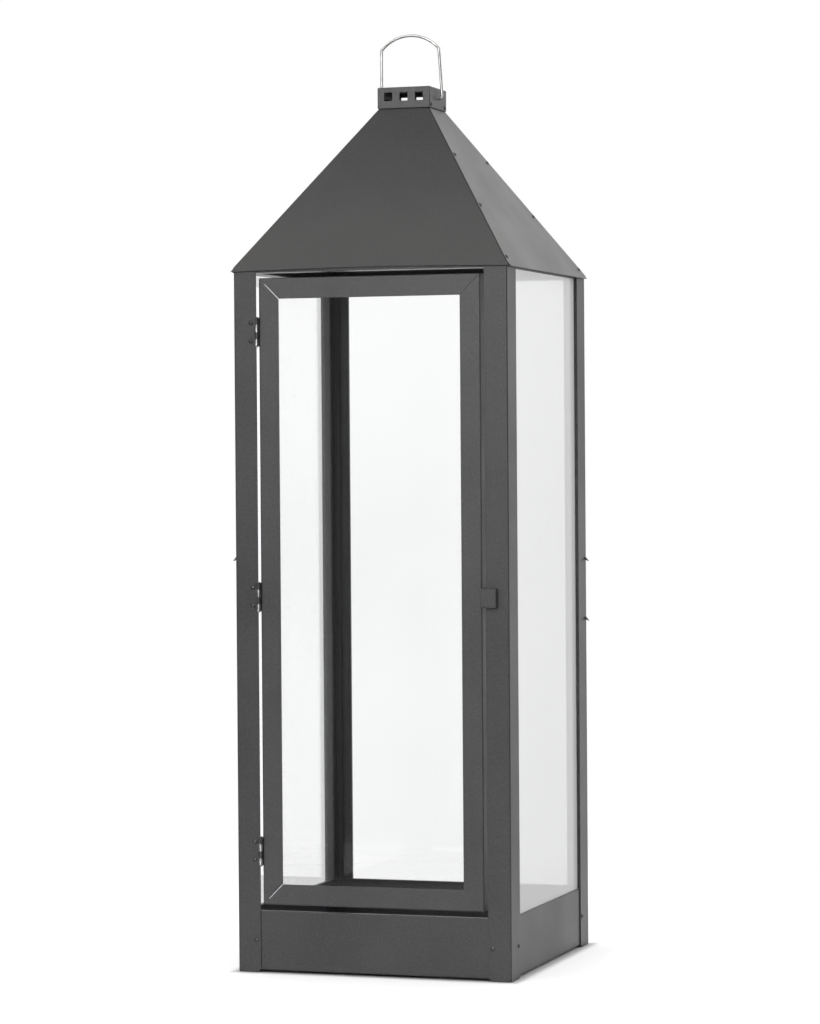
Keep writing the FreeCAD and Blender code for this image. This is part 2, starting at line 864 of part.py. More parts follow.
def catch_keeper():
    """Steel plate across the back of the latch stile, where the magnet pulls."""
    low, high = latch_height - catch_height / 2, latch_height + catch_height / 2
    edge = door_right - sheet
    return box(edge - keeper_width, edge, door_back - sheet, door_back, low, high)


# ------------------------------------------------------------ all nodes

def main():
    os.makedirs("parts", exist_ok=True)
    across_x = V(1, 0, 0)

    save("post_front_left", post(-1, -1, left_tongue_rises))
    save("post_front_right", post(1, -1))
    save("post_rear_left", post(-1, 1))
    save("post_rear_right", post(1, 1, right_tongue_rises))

    for turns, name in enumerate(("front", "right", "rear", "left")):
        save("plinth_" + name, plinth_panel(turns))
        save("header_" + name, header_strip(turns))
    save("floor_plate", floor_plate())

    save("roof_front", face_panel(FRONT))
    save("roof_rear", face_panel(REAR))
    save("roof_left", side_panel(LEFT))
    save("roof_right", side_panel(RIGHT))
    save("vent_cap", vent_cap())
    save("bail", bail())

    save("pane_right", side_pane())
    save("pane_left", mirrored(side_pane(), across_x))
    save("pane_rear", rear_pane())
    save("glazing_angle_rear_right", rear_glazing_angle())
    save("glazing_angle_rear_left", mirrored(rear_glazing_angle(), across_x))
    save("glazing_angle_front_right", front_glazing_angle())
    save("glazing_angle_front_left", mirrored(front_glazing_angle(), across_x))

    save("door_rail_bottom", door_rail(door_bottom, 1))
    save("door_rail_top", door_rail(door_top, -1))
    save("door_stile_hinge_side", door_stile(door_left, 1, open_mitre))
    save("door_stile_latch_side", door_stile(door_right, -1, shut_mitre))
    save("door_pane", door_pane())
    for name, shape in door_beads().items():
        save(name, shape)
    save("door_corner_brackets", door_corner_brackets())
    save("pull_tab", pull_tab())
    save("catch_keeper", catch_keeper())

    for name, centre in zip(("low", "middle", "top"), hinge_heights):
        save("hinge_fixed_leaf_" + name, fixed_leaf(centre))
        save("hinge_door_leaf_" + name, door_leaf(centre))
    save("hinge_pins", hinge_pins())
    save("catch_bracket", catch_bracket())
    save("catch_magnet", catch_magnet())

    save("rivets_plinth", rivets(plinth_rivet_seats(), plinth_grip))
    save("rivets_hips", rivets(hip_rivet_seats(), hip_grip))
    save("rivets_cap", rivets(cap_rivet_seats(), cap_grip))
    save("rivets_fixed_leaves", rivets(fixed_leaf_seats(), fixed_leaf_grip))
    save("rivets_door_leaves", rivets(door_leaf_seats(), door_leaf_grip))
    save("rivets_catch", rivets(catch_seats(), catch_grip))
    save("rivet_pull_tab", rivets(tab_seats(), tab_grip))


main()
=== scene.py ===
import math

import bpy
from mathutils import Matrix, Vector


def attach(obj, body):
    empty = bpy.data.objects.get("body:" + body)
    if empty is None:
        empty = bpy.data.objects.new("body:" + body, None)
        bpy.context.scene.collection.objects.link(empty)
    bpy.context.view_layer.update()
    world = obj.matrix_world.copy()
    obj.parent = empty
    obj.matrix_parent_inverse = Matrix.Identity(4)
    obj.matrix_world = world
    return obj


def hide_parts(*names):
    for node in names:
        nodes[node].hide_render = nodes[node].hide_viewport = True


# Candle lantern of dark coated sheet, dressed in its finishes and lit in a white studio.

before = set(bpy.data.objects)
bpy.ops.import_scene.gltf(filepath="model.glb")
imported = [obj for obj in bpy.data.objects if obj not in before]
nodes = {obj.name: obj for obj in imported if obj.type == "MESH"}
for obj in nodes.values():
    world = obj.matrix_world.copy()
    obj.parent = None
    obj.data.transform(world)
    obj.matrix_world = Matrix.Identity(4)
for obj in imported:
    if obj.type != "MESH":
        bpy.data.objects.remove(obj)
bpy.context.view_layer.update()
print("frame loaded:", len(nodes), "nodes")


def deselectAll():
    if bpy.context.object and bpy.context.object.mode != "OBJECT":
        bpy.ops.object.mode_set(mode="OBJECT")
    bpy.ops.object.select_all(action="DESELECT")


def nameNew(name):
    obj = bpy.context.object
    obj.name = name
    obj.data.name = name
    return obj


def growFace(rings):
    # the selected cap is drawn through a row of (height, radius) rings
    for (lastHeight, lastRadius), (height, radius) in zip(rings, rings[1:]):
        step = {"value": (0, 0, height - lastHeight)}
        bpy.ops.mesh.extrude_region_move(TRANSFORM_OT_translate=step)
        size = radius / lastRadius
        bpy.ops.transform.resize(value=(size, size, 1), center_override=(0, 0, height))


def addNode(tree, kind, label="", **settings):
    node = tree.nodes.new(kind)
    node.label = label
    for key, value in settings.items():
        if key in node.inputs:
            node.inputs[key].default_value = value
        else:
            setattr(node, key, value)
    node.location = (220 * (len(tree.nodes) % 9) - 900, 300 - 200 * (len(tree.nodes) // 9))
    return node


def link(tree, source, target):
    tree.links.new(source, target)


def mathNode(tree, operation, first, second=None, clamp=False):
    node = addNode(tree, "ShaderNodeMath", operation=operation, use_clamp=clamp)
    for socket, value in zip(node.inputs, (first, second)):
        if value is None:
            continue
        if isinstance(value, (int, float)):
            socket.default_value = value
        else:
            link(tree, value, socket)
    return node.outputs[0]


def rampNode(tree, value, low, high, toLow=0.0, toHigh=1.0):
    node = addNode(tree, "ShaderNodeMapRange", interpolation_type="SMOOTHSTEP")
    link(tree, value, node.inputs["Value"])
    node.inputs["From Min"].default_value = low
    node.inputs["From Max"].default_value = high
    node.inputs["To Min"].default_value = toLow
    node.inputs["To Max"].default_value = toHigh
    return node.outputs["Result"]


def blendColour(tree, mask, colourA, colourB):
    node = addNode(tree, "ShaderNodeMix", data_type="RGBA")
    if isinstance(mask, float):
        node.inputs["Factor"].default_value = mask
    else:
        link(tree, mask, node.inputs["Factor"])
    for socket, colour in ((node.inputs["A"], colourA), (node.inputs["B"], colourB)):
        if isinstance(colour, tuple):
            socket.default_value = (*colour, 1)
        else:
            link(tree, colour, socket)
    return node.outputs["Result"]


def noiseNode(tree, vector, scale, detail=2.0, roughness=0.5):
    node = addNode(tree, "ShaderNodeTexNoise", Scale=scale, Detail=detail, Roughness=roughness)
    link(tree, vector, node.inputs["Vector"])
    return node.outputs["Fac"]


def newGroup(name, inputs, outputs):
    group = bpy.data.node_groups.new(name, "ShaderNodeTree")
    for label, kind, value in inputs:
        socket = group.interface.new_socket(name=label, in_out="INPUT", socket_type=kind)
        if value is not None:
            socket.default_value = value
    for label, kind in outputs:
        group.interface.new_socket(name=label, in_out="OUTPUT", socket_type=kind)
    source = addNode(group, "NodeGroupInput")
    sink = addNode(group, "NodeGroupOutput")
    return group, source.outputs, sink.inputs


def useGroup(tree, group, vector, **values):
    node = addNode(tree, "ShaderNodeGroup", label=group.name, node_tree=group)
    link(tree, vector, node.inputs["Vector"])
    for key, value in values.items():
        node.inputs[key].default_value = value
    return node.outputs


floatSocket, vectorSocket = "NodeSocketFloat", "NodeSocketVector"


def makeCoatGrain():
    # fine orange peel of sprayed powder, with slow drifts in depth of colour
    group, given, out = newGroup(
        "coatGrain",
        [("Vector", vectorSocket, None), ("Grain Size", floatSocket, 0.0011), ("Drift Size", floatSocket, 0.09)],
        [("Height", floatSocket), ("Drift", floatSocket), ("Speck", floatSocket)],
    )
    fine = mathNode(group, "DIVIDE", 1.0, given["Grain Size"])
    wide = mathNode(group, "DIVIDE", 1.0, given["Drift Size"])
    peel = addNode(group, "ShaderNodeTexNoise", Detail=3.0, Roughness=0.6)
    link(group, given["Vector"], peel.inputs["Vector"])
    link(group, fine, peel.inputs["Scale"])
    drift = addNode(group, "ShaderNodeTexNoise", Detail=4.0, Roughness=0.55)
    link(group, given["Vector"], drift.inputs["Vector"])
    link(group, wide, drift.inputs["Scale"])
    speck = addNode(group, "ShaderNodeTexVoronoi", feature="F1")
    link(group, given["Vector"], speck.inputs["Vector"])
    link(group, mathNode(group, "MULTIPLY", fine, 0.22), speck.inputs["Scale"])
    link(group, peel.outputs["Fac"], out["Height"])
    link(group, drift.outputs["Fac"], out["Drift"])
    link(group, rampNode(group, speck.outputs["Distance"], 0.10, 0.22, 1.0, 0.0), out["Speck"])
    return group


def makeEdgeRub():
    # mask along folded and cut edges, broken up as handling rubs them
    group, given, out = newGroup(
        "edgeRub",
        [("Vector", vectorSocket, None), ("Width", floatSocket, 0.0008), ("Patch Size", floatSocket, 0.02)],
        [("Mask", floatSocket), ("Normal", vectorSocket)],
    )
    bevel = addNode(group, "ShaderNodeBevel", samples=4)
    link(group, given["Width"], bevel.inputs["Radius"])
    geometry = addNode(group, "ShaderNodeNewGeometry")
    facing = addNode(group, "ShaderNodeVectorMath", operation="DOT_PRODUCT")
    link(group, bevel.outputs["Normal"], facing.inputs[0])
    link(group, geometry.outputs["True Normal"], facing.inputs[1])
    edge = rampNode(group, facing.outputs["Value"], 0.80, 0.985, 1.0, 0.0)
    patch = addNode(group, "ShaderNodeTexNoise", Detail=3.0, Roughness=0.7)
    link(group, given["Vector"], patch.inputs["Vector"])
    link(group, mathNode(group, "DIVIDE", 1.0, given["Patch Size"]), patch.inputs["Scale"])
    broken = rampNode(group, patch.outputs["Fac"], 0.42, 0.68)
    link(group, mathNode(group, "MULTIPLY", edge, broken), out["Mask"])
    link(group, bevel.outputs["Normal"], out["Normal"])
    return group


def makeDustVeil():
    # thin dust that settles on faces that look up
    group, given, out = newGroup(
        "dustVeil",
        [("Vector", vectorSocket, None), ("Patch Size", floatSocket, 0.05), ("Amount", floatSocket, 0.4)],
        [("Mask", floatSocket)],
    )
    geometry = addNode(group, "ShaderNodeNewGeometry")
    parts = addNode(group, "ShaderNodeSeparateXYZ")
    link(group, geometry.outputs["Normal"], parts.inputs["Vector"])
    upward = rampNode(group, parts.outputs["Z"], 0.2, 0.95)
    patch = addNode(group, "ShaderNodeTexNoise", Detail=5.0, Roughness=0.6)
    link(group, given["Vector"], patch.inputs["Vector"])
    link(group, mathNode(group, "DIVIDE", 1.0, given["Patch Size"]), patch.inputs["Scale"])
    amount = mathNode(group, "MULTIPLY", upward, given["Amount"])
    link(group, mathNode(group, "MULTIPLY", amount, patch.outputs["Fac"], clamp=True), out["Mask"])
    return group


def makeDrawLines():
    # fine scratches that run along one axis, as on drawn wire and brushed zinc
    group, given, out = newGroup(
        "drawLines",
        [
            ("Vector", vectorSocket, None),
            ("Along", vectorSocket, (1.0, 1.0, 0.03)),
            ("Line Size", floatSocket, 0.0004),
        ],
        [("Height", floatSocket), ("Stain", floatSocket)],
    )
    stretched = addNode(group, "ShaderNodeVectorMath", operation="MULTIPLY")
    link(group, given["Vector"], stretched.inputs[0])
    link(group, given["Along"], stretched.inputs[1])
    lines = addNode(group, "ShaderNodeTexNoise", Detail=3.0, Roughness=0.65)
    link(group, stretched.outputs["Vector"], lines.inputs["Vector"])
    link(group, mathNode(group, "DIVIDE", 1.0, given["Line Size"]), lines.inputs["Scale"])
    stain = addNode(group, "ShaderNodeTexNoise", Scale=160.0, Detail=3.0, Roughness=0.6)
    link(group, given["Vector"], stain.inputs["Vector"])
    link(group, lines.outputs["Fac"], out["Height"])
    link(group, stain.outputs["Fac"], out["Stain"])
    return group


coatGrain = makeCoatGrain()
edgeRub = makeEdgeRub()
dustVeil = makeDustVeil()
drawLines = makeDrawLines()
print("shader groups ready")


def startMaterial(name):
    material = bpy.data.materials.new(name)
    material.use_nodes = True
    tree = material.node_tree
    tree.nodes.clear()
    shader = addNode(tree, "ShaderNodeBsdfPrincipled")
    output = addNode(tree, "ShaderNodeOutputMaterial")
    link(tree, shader.outputs["BSDF"], output.inputs["Surface"])
    place = addNode(tree, "ShaderNodeTexCoord").outputs["Object"]
    return material, tree, shader, place


coatLook = {
    "deep": (0.039, 0.038, 0.040),
    "light": (0.051, 0.050, 0.052),
    "grainDark": (0.026, 0.025, 0.027),
    "grainPale": (0.072, 0.070, 0.073),
    "grainShare": 0.45,
    "rubbed": (0.16, 0.16, 0.165),
    "speck": 0.10,
    "rub": 0.55,
    "dust": (0.17, 0.165, 0.155),
    "roughLow": 0.34,
    "roughHigh": 0.44,
    "bump": 0.18,
    "bumpDepth": 0.00012,
    "dustRough": 0.3,
    "dustAmount": 0.22,
    "edgeWidth": 0.0007,
    "gloss": 0.5,
}


def makeCoat(name, look):
    material, tree, shader, place = startMaterial(name)
    grain = useGroup(tree, coatGrain, place)
    rub = useGroup(tree, edgeRub, place, Width=look["edgeWidth"])
    dust = useGroup(tree, dustVeil, place, Amount=look["dustAmount"])
    drift = rampNode(tree, grain["Drift"], 0.3, 0.7)
    colour = blendColour(tree, drift, look["deep"], look["light"])
    mottle = blendColour(tree, rampNode(tree, grain["Height"], 0.36, 0.64), look["grainDark"], look["grainPale"])
    colour = blendColour(tree, look["grainShare"], colour, mottle)
    colour = blendColour(tree, mathNode(tree, "MULTIPLY", grain["Speck"], look["speck"]), colour, look["rubbed"])
    colour = blendColour(tree, mathNode(tree, "MULTIPLY", rub["Mask"], look["rub"]), colour, look["rubbed"])
    colour = blendColour(tree, dust["Mask"], colour, look["dust"])
    # painted light: the coat is blended towards the dust colour low on the roof, so it is paler towards the eave
    if "paintedEaveLight" in look:
        parts = addNode(tree, "ShaderNodeSeparateXYZ")
        link(tree, place, parts.inputs["Vector"])
        low, high, amount = look["paintedEaveLight"]
        paintedEaveLight = rampNode(tree, parts.outputs["Z"], low, high, amount, 0.0)
        colour = blendColour(tree, paintedEaveLight, colour, look["dust"])
    link(tree, colour, shader.inputs["Base Color"])
    rough = rampNode(tree, grain["Drift"], 0.25, 0.75, look["roughLow"], look["roughHigh"])
    dusty = mathNode(tree, "MULTIPLY", dust["Mask"], look["dustRough"])
    link(tree, mathNode(tree, "ADD", rough, dusty), shader.inputs["Roughness"])
    bump = addNode(tree, "ShaderNodeBump", Strength=look["bump"], Distance=look["bumpDepth"])
    link(tree, grain["Height"], bump.inputs["Height"])
    link(tree, rub["Normal"], bump.inputs["Normal"])
    link(tree, bump.outputs["Normal"], shader.inputs["Normal"])
    shader.inputs["IOR"].default_value = 1.45
    shader.inputs["Specular IOR Level"].default_value = look["gloss"]
    return material


wireLook = {
    "bright": (0.54, 0.54, 0.53),
    "dull": (0.44, 0.44, 0.435),
    "roughLow": 0.42,
    "roughHigh": 0.55,
    "bump": 0.05,
}


def makeBareMetal(name, look, along):
    material, tree, shader, place = startMaterial(name)
    lines = useGroup(tree, drawLines, place, Along=along)
    stain = rampNode(tree, lines["Stain"], 0.35, 0.7)
    link(tree, blendColour(tree, stain, look["bright"], look["dull"]), shader.inputs["Base Color"])
    rough = rampNode(tree, lines["Stain"], 0.3, 0.75, look["roughLow"], look["roughHigh"])
    link(tree, rough, shader.inputs["Roughness"])
    bump = addNode(tree, "ShaderNodeBump", Strength=look["bump"], Distance=0.00004)
    link(tree, lines["Height"], bump.inputs["Height"])
    link(tree, bump.outputs["Normal"], shader.inputs["Normal"])
    shader.inputs["Metallic"].default_value = 1.0
    return material


zincLook = {
    "bright": (0.50, 0.50, 0.51),
    "dull": (0.28, 0.28, 0.29),
    "roughLow": 0.30,
    "roughHigh": 0.50,
    "bump": 0.3,
}

magnetLook = {
    "bright": (0.05, 0.05, 0.055),
    "dull": (0.025, 0.025, 0.028),
    "roughLow": 0.5,
    "roughHigh": 0.75,
    "bump": 0.4,
}

glassLook = {
    "clear": (0.985, 0.988, 0.987),
    "smearAndPaintedShade": (0.948, 0.951, 0.951),
    "edge": (0.45, 0.66, 0.58),
    "roughClean": 0.0,
    "roughSmear": 0.02,
    "paintedSheen": (0.93, 0.93, 0.935),
    "paintedSheenFrom": 0.42,        # how far from square-on the painted sheen, a white layer in place of grazing reflection, starts to show
    "paintedSheenTo": 0.90,
    "paintedSheenMost": 0.30,
}


def makeGlass(name, look, across):
    # clear float glass: green only through its narrow edges, with faint wiping marks
    material, tree, shader, place = startMaterial(name)
    turned = addNode(tree, "ShaderNodeVectorMath", operation="DOT_PRODUCT")
    link(tree, tree.nodes["Texture Coordinate"].outputs["Normal"], turned.inputs[0])
    turned.inputs[1].default_value = across
    face = mathNode(tree, "ABSOLUTE", turned.outputs["Value"])
    edge = rampNode(tree, face, 0.3, 0.8, 1.0, 0.0)
    wipe = useGroup(tree, drawLines, place, Along=(0.12, 0.12, 0.5))
    streak = rampNode(tree, wipe["Stain"], 0.55, 0.8)
    parts = addNode(tree, "ShaderNodeSeparateXYZ")
    link(tree, place, parts.inputs["Vector"])
    below = rampNode(tree, parts.outputs["Z"], 0.42, 0.70, 1.0, 0.0)    # painted shade: darker lower down, clearer towards the top where the brighter reflection falls
    shadeNoise = rampNode(tree, noiseNode(tree, place, 4.5), 0.35, 0.62, 0.55, 1.0)
    paintedLowShade = mathNode(tree, "MULTIPLY", below, shadeNoise)
    # the wiping streaks are real marks; the height ramp is painted shade
    smearedAndShaded = mathNode(tree, "MAXIMUM", paintedLowShade, mathNode(tree, "MULTIPLY", streak, 0.5))
    colour = blendColour(tree, smearedAndShaded, look["clear"], look["smearAndPaintedShade"])
    link(tree, blendColour(tree, edge, colour, look["edge"]), shader.inputs["Base Color"])
    rough = rampNode(tree, wipe["Stain"], 0.6, 0.85, look["roughClean"], look["roughSmear"])
    link(tree, rough, shader.inputs["Roughness"])
    shader.inputs["Transmission Weight"].default_value = 1.0
    shader.inputs["IOR"].default_value = 1.5
    # painted sheen: a white matt layer (powder) mixed in at grazing angles stands in for grazing reflection
    slant = addNode(tree, "ShaderNodeLayerWeight", Blend=0.5)
    paintedSheen = rampNode(tree, slant.outputs["Facing"], look["paintedSheenFrom"], look["paintedSheenTo"], 0.0, look["paintedSheenMost"])
    powder = addNode(tree, "ShaderNodeBsdfDiffuse", Color=(*look["paintedSheen"], 1))
    withPaintedSheen = addNode(tree, "ShaderNodeMixShader")
    link(tree, paintedSheen, withPaintedSheen.inputs["Fac"])
    link(tree, shader.outputs["BSDF"], withPaintedSheen.inputs[1])
    link(tree, powder.outputs["BSDF"], withPaintedSheen.inputs[2])
    rays = addNode(tree, "ShaderNodeLightPath")
    unseen = mathNode(tree, "MAXIMUM", rays.outputs["Is Shadow Ray"], rays.outputs["Is Diffuse Ray"])
    clearWay = addNode(tree, "ShaderNodeBsdfTransparent")
    mix = addNode(tree, "ShaderNodeMixShader")
    link(tree, unseen, mix.inputs["Fac"])
    link(tree, withPaintedSheen.outputs["Shader"], mix.inputs[1])
    link(tree, clearWay.outputs["BSDF"], mix.inputs[2])
    link(tree, mix.outputs["Shader"], tree.nodes["Material Output"].inputs["Surface"])
    return material


coat = makeCoat("satinCoat", coatLook)
plateCoat = makeCoat("floorPlateCoat", {**coatLook, "dustAmount": 0.5})
# painted light: a lighter copy of the same coat, used on the door and the vent cap
doorCoatPaintedLighter = makeCoat("doorCoatPaintedLighter", {
    **coatLook,
    "deep": (0.063, 0.062, 0.064),
    "light": (0.075, 0.074, 0.077),
})
roofCoat = makeCoat("roofCoat", {**coatLook, "paintedEaveLight": (0.745, 0.905, 0.26)})    # painted light: paler towards the eave
wire = makeBareMetal("galvanisedWire", wireLook, (1.0, 1.0, 0.05))
zinc = makeBareMetal("zincHinge", zincLook, (1.0, 1.0, 0.1))
magnetFinish = makeBareMetal("magnetBlock", magnetLook, (1.0, 1.0, 1.0))
paneLeft = makeGlass("glassAcrossX", glassLook, (1.0, 0.0, 0.0))
# painted sheen: this pane carries the white grazing layer almost in full
paneRight = makeGlass("heavyPaintedSheenGlassAcrossX", {**glassLook, "paintedSheenMost": 0.95}, (1.0, 0.0, 0.0))
paneFront = makeGlass("glassAcrossY", glassLook, (0.0, 1.0, 0.0))


def dress(obj, material):
    slots = obj.data.materials
    if not slots:
        slots.append(material)
    for i in range(len(slots)):
        slots[i] = material


finishes = {
    "bail": wire,
    "hinge_pins": zinc,
    "hinge_door_leaf_low": zinc,
    "hinge_door_leaf_middle": zinc,
    "hinge_door_leaf_top": zinc,
    "catch_keeper": zinc,
    "catch_magnet": magnetFinish,
    "floor_plate": plateCoat,
    "roof_front": roofCoat,
    "roof_rear": roofCoat,
    "roof_left": roofCoat,
    "roof_right": roofCoat,
    "pane_left": paneLeft,
    "pane_right": paneRight,
    "pane_rear": paneFront,
    "door_pane": paneFront,
    "vent_cap": doorCoatPaintedLighter,
    "door_rail_bottom": doorCoatPaintedLighter,
    "door_rail_top": doorCoatPaintedLighter,
    "door_stile_hinge_side": doorCoatPaintedLighter,
    "door_stile_latch_side": doorCoatPaintedLighter,
}

for name, obj in nodes.items():
    dress(obj, finishes.get(name, coat))
print("finishes on all CAD nodes")


rivetShape = {
    "head": 0.00260,       # radius of the dome
    "dome": 0.00120,
    "stem": 0.00062,       # radius of the pulled stem's hole
    "stemDepth": 0.00060,
    "shank": 0.00150,
    "tail": 0.00210,
    "tailLength": 0.00060,
    "sides": 28,
}


rivetReach = 0.006    # faces nearer than this belong to one rivet


def rivetSeats(node):
    # head centre, outward axis and overall length of each rivet in a CAD node
    mesh = nodes[node].data
    groups = []
    for polygon in mesh.polygons:
        for group in groups:
            if (group[0].center - polygon.center).length < rivetReach:
                group.append(polygon)
                break
        else:
            groups.append([polygon])
    seats = []
    for group in groups:
        widest = max(group, key=lambda polygon: polygon.area)
        flat = [0.0, Vector()]
        for candidate in group[::7] + [widest]:
            area = sum(p.area for p in group if p.normal.dot(candidate.normal) > 0.999)
            if area > flat[0]:
                flat = [area, candidate.normal.copy()]
        axis = flat[1]
        points = [mesh.vertices[i].co for polygon in group for i in polygon.vertices]
        middle = sum(points, Vector()) / len(points)
        if axis.dot(Vector((middle.x, middle.y, 0))) < 0:
            axis = -axis
        along = [point.dot(axis) for point in points]
        across = [point - axis * point.dot(axis) for point in points]
        low = Vector([min(p[i] for p in across) for i in range(3)])
        high = Vector([max(p[i] for p in across) for i in range(3)])
        centre = (low + high) / 2
        seats.append((centre + axis * max(along), axis, max(along) - min(along)))
    return seats


def modelRivet(length):
    # drawn ring by ring from the tail, then the stem's hole is sunk in the dome
    s = rivetShape
    under = -s["dome"]
    tailTop = -length + s["tailLength"]
    deselectAll()
    bpy.ops.mesh.primitive_circle_add(
        vertices=s["sides"], radius=s["tail"] * 0.75, fill_type="NGON", location=(0, 0, -length))
    rivet = nameNew("rivetModel")
    bpy.ops.object.transform_apply(location=True, rotation=True, scale=True)
    bpy.ops.object.mode_set(mode="EDIT")
    bpy.ops.mesh.select_all(action="SELECT")
    growFace([
        (-length, s["tail"] * 0.75),
        (-length + s["tailLength"] * 0.5, s["tail"]),
        (tailTop, s["tail"]),
        (tailTop + 0.00001, s["shank"]),
        (under - 0.00001, s["shank"]),
        (under, s["head"] * 0.97),
        (under + s["dome"] * 0.12, s["head"]),
        (under + s["dome"] * 0.45, s["head"] * 0.88),
        (under + s["dome"] * 0.75, s["head"] * 0.68),
        (under + s["dome"] * 0.93, s["head"] * 0.46),
        (0, s["stem"] * 1.15),
        (-s["stemDepth"] * 0.2, s["stem"]),
        (-s["stemDepth"], s["stem"] * 0.9),
    ])
    bpy.ops.mesh.select_all(action="SELECT")
    bpy.ops.mesh.remove_doubles(threshold=0.000001)
    bpy.ops.mesh.normals_make_consistent(inside=False)
    bpy.ops.object.mode_set(mode="OBJECT")
    bpy.ops.object.shade_smooth_by_angle(angle=math.radians(40))
    return rivet


rivetRows = {
    "plinthRivets": ("rivets_plinth", "lantern"),
    "hipRivets": ("rivets_hips", "lantern"),
    "capRivets": ("rivets_cap", "lantern"),
    "postHingeRivets": ("rivets_fixed_leaves", "lantern"),
    "catchRivets": ("rivets_catch", "lantern"),
    "doorHingeRivets": ("rivets_door_leaves", "door"),
    "pullTabRivet": ("rivet_pull_tab", "door"),
}


def makeRivetFinish():
    # coated over with the sheet, but the stem's hole shows bare aluminium
    material, tree, shader, place = startMaterial("rivetCoat")
    grain = useGroup(tree, coatGrain, place)
    rub = useGroup(tree, edgeRub, place, Width=0.0004)
    colour = blendColour(tree, grain["Drift"], coatLook["deep"], coatLook["light"])
    link(tree, blendColour(tree, rub["Mask"], colour, (0.3, 0.3, 0.31)), shader.inputs["Base Color"])
    link(tree, rampNode(tree, grain["Drift"], 0.2, 0.8, 0.14, 0.24), shader.inputs["Roughness"])
    bump = addNode(tree, "ShaderNodeBump", Strength=0.15, Distance=0.0001)
    link(tree, grain["Height"], bump.inputs["Height"])
    link(tree, bump.outputs["Normal"], shader.inputs["Normal"])
    return material


rivetFinish = makeRivetFinish()

for pieceName, (nodeName, bodyName) in rivetRows.items():
    seats = rivetSeats(nodeName)
    model = modelRivet(seats[0][2])
    copies = []
    for head, axis, length in seats:
        copy = model.copy()
        copy.data = model.data.copy()
        bpy.context.scene.collection.objects.link(copy)
        turn = axis.to_track_quat("Z", "Y").to_matrix().to_4x4()
        copy.data.transform(Matrix.Translation(head) @ turn)
        copies.append(copy)
    bpy.data.objects.remove(model)
    deselectAll()
    for copy in copies:
        copy.select_set(True)
    bpy.context.view_layer.objects.active = copies[0]
    if len(copies) > 1:
        bpy.ops.object.join()
    row = nameNew(pieceName)
    dress(row, rivetFinish)
    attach(row, bodyName)
    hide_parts(nodeName)
    print("rivets:", pieceName, len(seats))


studio = {
    "floorRadius": 1.9,
    "floorColour": (0.80, 0.80, 0.80),
    "floorTopUp": 0.54,        # what camera and mirror rays add to the lit floor
    "footprint": 0.150,        # half the lantern's plan, outside which the top-up starts; nearer in, the floor keeps a painted contact shadow
    "topUpFull": 0.014,
    "fadeStart": 0.45,         # beyond this the floor runs out into the backdrop
    "fadeEnd": 1.15,
    "matt": 0.74,              # white room light on matt surfaces
    "throughGlass": 1.15,      # the backdrop behind two panes
    "behind": 0.92,            # the backdrop in mirror surfaces
    "behindHigh": 1.30,
    "behindInGlass": 1.35,
    "frontHigh": 0.10,         # the room on the camera's side, above the horizon
    "frontLow": 0.08,
    "overhead": 0.8,
    "softBox": 20.0,           # a soft box high behind the camera, in mirror surfaces
    "softBoxWay": (-0.05, -0.97, 0.27),
    "softBoxInner": 6.0,       # degrees from its middle
    "softBoxOuter": 15.0,
}


def makeFloor():
    # a pale disc that runs out into the white backdrop
    deselectAll()
    bpy.ops.mesh.primitive_circle_add(
        vertices=96, radius=studio["floorRadius"], fill_type="NGON", location=(0, 0, 0))
    floor = nameNew("studioFloor")
    material, tree, shader, place = startMaterial("paleFloor")
    mottle = noiseNode(tree, place, 3.0)
    tint = blendColour(tree, mottle, studio["floorColour"], tuple(c * 1.02 for c in studio["floorColour"]))
    link(tree, tint, shader.inputs["Base Color"])
    shader.inputs["Roughness"].default_value = 0.9
    shader.inputs["Specular IOR Level"].default_value = 0.1
    rays = addNode(tree, "ShaderNodeLightPath")
    seen = mathNode(tree, "MAXIMUM", rays.outputs["Is Camera Ray"], rays.outputs["Is Transmission Ray"])
    seen = mathNode(tree, "MAXIMUM", seen, rays.outputs["Is Glossy Ray"])
    glow = addNode(tree, "ShaderNodeEmission", Color=(1, 1, 1, 1))
    beside = addNode(tree, "ShaderNodeVectorMath", operation="ABSOLUTE")
    link(tree, place, beside.inputs[0])
    sides = addNode(tree, "ShaderNodeSeparateXYZ")
    link(tree, beside.outputs["Vector"], sides.inputs["Vector"])
    reach = mathNode(tree, "MAXIMUM", sides.outputs["X"], sides.outputs["Y"])
    # painted shadow: the top-up fades out towards the lantern's footprint, darkening the floor round its base
    clear = rampNode(tree, reach, studio["footprint"], studio["footprint"] + studio["topUpFull"])
    seen = mathNode(tree, "MULTIPLY", seen, clear)
    link(tree, mathNode(tree, "MULTIPLY", seen, studio["floorTopUp"]), glow.inputs["Strength"])
    both = addNode(tree, "ShaderNodeAddShader")
    link(tree, shader.outputs["BSDF"], both.inputs[0])
    link(tree, glow.outputs["Emission"], both.inputs[1])
    away = addNode(tree, "ShaderNodeVectorMath", operation="LENGTH")
    link(tree, place, away.inputs[0])
    fade = rampNode(tree, away.outputs["Value"], studio["fadeStart"], studio["fadeEnd"])
    gone = addNode(tree, "ShaderNodeBsdfTransparent")
    mix = addNode(tree, "ShaderNodeMixShader")
    link(tree, fade, mix.inputs["Fac"])
    link(tree, both.outputs["Shader"], mix.inputs[1])
    link(tree, gone.outputs["BSDF"], mix.inputs[2])
    link(tree, mix.outputs["Shader"], tree.nodes["Material Output"].inputs["Surface"])
    dress(floor, material)


